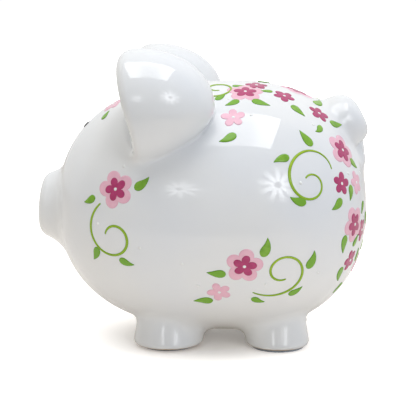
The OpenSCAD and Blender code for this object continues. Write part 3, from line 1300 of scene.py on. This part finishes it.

# Each enamel's slot, then its colour where it is thin, where it pools and is painted with shade at its
# edge, and in other patches
ENAMELS = {
    "pink": ("enamel_pink", (0.84, 0.5, 0.59), (0.76, 0.40, 0.51), None),
    "rose": ("enamel_rose", (0.47, 0.05, 0.165), (0.33, 0.022, 0.1), None),
    "leaves": ("enamel_green", (0.235, 0.455, 0.045), (0.09, 0.255, 0.01), (0.18, 0.4, 0.03)),
    "vines": ("enamel_lime", (0.37, 0.53, 0.035), (0.2, 0.36, 0.015), (0.27, 0.44, 0.02)),
    "dots": ("enamel_white", (0.87, 0.87, 0.86), (0.8, 0.8, 0.79), None),
    "eyes": ("enamel_dark", (0.025, 0.02, 0.022), (0.012, 0.01, 0.011), None),
}
for kind, relief_piece in add_enamel().items():
    relief_piece.data.materials.append(enamel_material(*ENAMELS[kind]))
    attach(relief_piece, "bank")


# ---------------------------------------------------------------- floor and light
# Lengths are in metres here, and powers in watts.

BANK_MIDDLE = (0, 0, 0.1)
FLOOR_FRONT = -0.3
FLOOR_FAR = 12.0
FLOOR_GLOW = 0.085
# The floor's own colour, then the warm colour of the painted glow it throws on the bank
FLOOR_COLOUR, FLOOR_GLOW_TINT = (0.86, 0.82, 0.77), (1, 0.87, 0.72)
WHITE = (1, 1, 1)
SOFTBOX_PLACE, SOFTBOX_AIM = (0.0, -0.22, 1.1), (0.0, -0.22, 0.0)
SOFTBOX_LONG, SOFTBOX_WIDE = 0.78, 0.68
SOFTBOX_POWER = 7.3
UMBRELLA_FAR = 1.5
UMBRELLA_RIBS = 9
UMBRELLA_COLOUR = (0.96, 0.98, 1.0)
ROOM_LEFT, ROOM_FRONT, ROOM_RIGHT = (0.5, 0.47, 0.415), (0.265, 0.285, 0.32), (0.47, 0.51, 0.59)
ROOM_SWEEP = (0.9, 0.9, 0.9)


def add_floor():
    """A pale table top, which ends a little in front of the bank. It is painted with glow: rising to white
    for the camera away from the bank, and a faint warm glow that lights the bank.
    """
    floor = bmesh.new()
    corners = [(-FLOOR_FAR, FLOOR_FRONT), (FLOOR_FAR, FLOOR_FRONT)]
    corners += [(FLOOR_FAR, FLOOR_FAR), (-FLOOR_FAR, FLOOR_FAR)]
    floor.faces.new([floor.verts.new((x, y, 0)) for x, y in corners])
    mesh = bpy.data.meshes.new("floor")
    floor.to_mesh(mesh)
    floor.free()
    obj = add_object("floor", mesh)
    material, graph = new_material("floor_white")
    shader = graph.target
    shader.inputs["Base Color"].default_value = (*FLOOR_COLOUR, 1)
    shader.inputs["Roughness"].default_value = 0.6
    away = graph.add("VectorMath")
    away.operation = "LENGTH"
    graph.links.new(graph.add("TexCoord").outputs["Object"], away.inputs[0])
    # Painted light: the floor glows, rising to white for the camera away from the bank, and faintly warm
    # for the light it throws onto the bank
    near_glow = graph.ranged(away.outputs["Value"], 0.03, 0.09, 0.06, 0.55)
    far_glow = graph.ranged(away.outputs["Value"], 0.35, 1.6, 0.0, 0.7)
    glow = graph.maths("ADD", near_glow, far_glow)
    to_camera = graph.add("LightPath").outputs["Is Camera Ray"]
    graph.feed("Emission Color", graph.mix(to_camera, FLOOR_GLOW_TINT, WHITE))
    graph.feed("Emission Strength", graph.maths("MULTIPLY_ADD", to_camera, glow, FLOOR_GLOW))
    obj.data.materials.append(material)


def add_area(name, place, aim, size, power, shape="RECTANGLE", colour=WHITE):
    data = bpy.data.lights.new(name, "AREA")
    data.shape = shape
    data.size = size
    data.size_y = size
    data.energy = power
    data.color = colour
    light = add_object(name, data)
    light.location = place
    light.rotation_euler = (Vector(aim) - Vector(place)).to_track_quat("-Z", "Y").to_euler()
    light.visible_camera = False
    return light


def aside(azimuth, elevation, distance):
    """A place seen from the bank's middle: azimuth from the pig's left side towards its tail."""
    a, e = math.radians(azimuth), math.radians(elevation)
    flat = distance * math.cos(e)
    return (flat * math.sin(a), -flat * math.cos(a), BANK_MIDDLE[2] + distance * math.sin(e))


def add_pattern(light):
    """A graph for a pattern on a light, and the places across and up it, from 0 to 1."""
    graph = Graph(light.data, "Emission")
    return graph, graph.axes("NewGeometry", "Parametric")


def add_umbrella(name, place, size, power):
    """A lit umbrella: a bright disc with a dark lamp in its middle, and rays along its ribs."""
    light = add_area(name, place, BANK_MIDDLE, size, power, "DISK", UMBRELLA_COLOUR)
    graph, on_light = add_pattern(light)
    maths = graph.maths
    u = maths("SUBTRACT", on_light[0], 0.5)
    v = maths("SUBTRACT", on_light[1], 0.5)
    away = maths("SQRT", maths("ADD", maths("MULTIPLY", u, u), maths("MULTIPLY", v, v)))
    turn = maths("MULTIPLY", maths("ARCTAN2", v, u), UMBRELLA_RIBS / 2)
    ray = maths("ABSOLUTE", maths("COSINE", turn))
    reach = maths("MULTIPLY_ADD", ray, 0.3, 0.13)
    fade = graph.ranged(maths("DIVIDE", away, reach), 0.3, 1.4, 1.0, 0.03)
    lit = graph.ranged(away, 0.075, 0.1)
    graph.feed("Strength", maths("MULTIPLY", fade, lit))


def add_softbox():
    """The light overhead: a soft panel that is brighter towards its two ends."""
    light = add_area("overhead_softbox", SOFTBOX_PLACE, SOFTBOX_AIM, SOFTBOX_LONG, SOFTBOX_POWER)
    light.data.size_y = SOFTBOX_WIDE
    graph, on_light = add_pattern(light)
    from_middle = graph.maths("ABSOLUTE", graph.maths("SUBTRACT", on_light[0], 0.5))
    graph.feed("Strength", graph.ranged(from_middle, 0.12, 0.34, 0.62, 1.12))


def add_world():
    """A dim room on the near side, a lit white sweep behind, and white for the camera itself."""
    world = bpy.data.worlds.new("studio")
    bpy.context.scene.world = world
    graph = Graph(world, "Background")
    way = graph.axes("TexCoord", "Generated")
    sides = graph.mix(graph.ranged(way["X"], -0.8, -0.2), ROOM_LEFT, ROOM_FRONT)
    sides = graph.mix(graph.ranged(way["X"], 0.1, 0.8), sides, ROOM_RIGHT)
    graph.feed("Color", graph.mix(graph.ranged(way["Y"], -0.05, 0.3), sides, ROOM_SWEEP))
    graph.target.inputs["Strength"].default_value = 1.0
    white = graph.add("Background")
    white.inputs["Strength"].default_value = 1.05
    white.inputs["Color"].default_value = (*WHITE, 1)
    mix = graph.add("MixShader")
    graph.links.new(graph.add("LightPath").outputs["Is Camera Ray"], mix.inputs[0])
    graph.links.new(graph.target.outputs[0], mix.inputs[1])
    graph.links.new(white.outputs[0], mix.inputs[2])
    graph.links.new(mix.outputs[0], graph.nodes["World Output"].inputs["Surface"])


add_floor()
add_world()
add_softbox()
add_umbrella("umbrella_right", aside(29, 24, UMBRELLA_FAR), 0.84, 11.5)
add_umbrella("umbrella_left", aside(-14.5, 21, UMBRELLA_FAR), 0.46, 2.3)
bpy.context.scene.view_settings.view_transform = "Standard"
